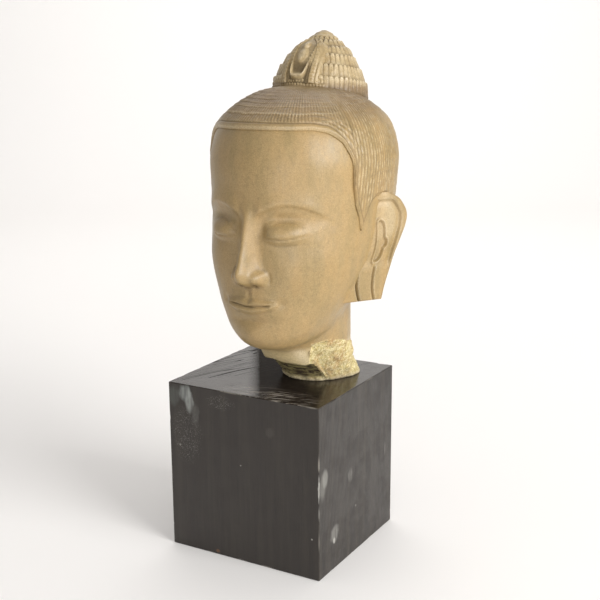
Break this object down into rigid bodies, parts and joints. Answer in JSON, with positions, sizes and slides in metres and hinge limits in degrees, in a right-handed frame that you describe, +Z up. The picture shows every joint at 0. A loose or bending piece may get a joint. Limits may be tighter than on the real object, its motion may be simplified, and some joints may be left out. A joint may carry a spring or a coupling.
{
  "type": "stone buddha head",
  "caption": "Carved sandstone Buddha head with closed eyes, fine curled hair and a tiered topknot, its neck broken off, on a black-stained wooden block.",
  "frame": {"origin": "centre of the wooden plinth's underside", "axes": "+Z up through the plinth towards the topknot, -Y the way the face looks, +X towards the head's left ear"},
  "size_m": [0.1941, 0.2115, 0.4726],
  "materials": {
    "sandstone": "matt, worn smooth, slightly polished on the raised parts",
    "black_stained_wood": "satin black stain over open grain"
  },
  "bodies": {
    "root": {"stone_head": "sandstone", "wooden_plinth": "black_stained_wood"}
  },
  "joints": []
}
